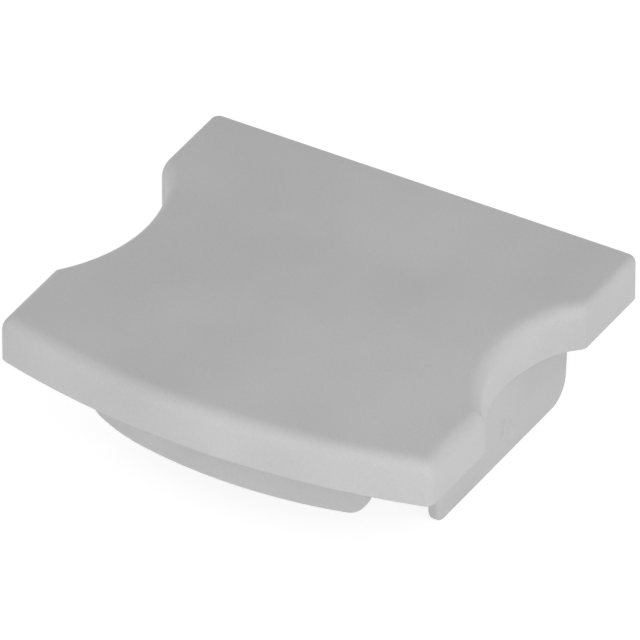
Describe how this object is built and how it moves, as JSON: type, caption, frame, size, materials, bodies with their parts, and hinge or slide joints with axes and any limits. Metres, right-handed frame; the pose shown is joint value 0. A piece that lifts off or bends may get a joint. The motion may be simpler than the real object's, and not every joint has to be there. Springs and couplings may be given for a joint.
{
  "type": "profile end cap",
  "caption": "Moulded end cap for an I-shaped channel profile: waisted cover plate with a bowed front, side tabs and a curved rib underneath.",
  "frame": {"origin": "on the seating plane (underside of the plate), on the mirror plane of the plate, half way between the two waists", "axes": "+Z out of the profile through the outer face, +X across the profile's width, +Y towards the straight back edge; the bowed front is at -Y"},
  "size_m": [0.0172, 0.0156, 0.0063],
  "materials": {
    "end_cap": "satin light grey moulded ABS"
  },
  "bodies": {
    "root": {"end_cap": "end_cap"}
  },
  "joints": []
}
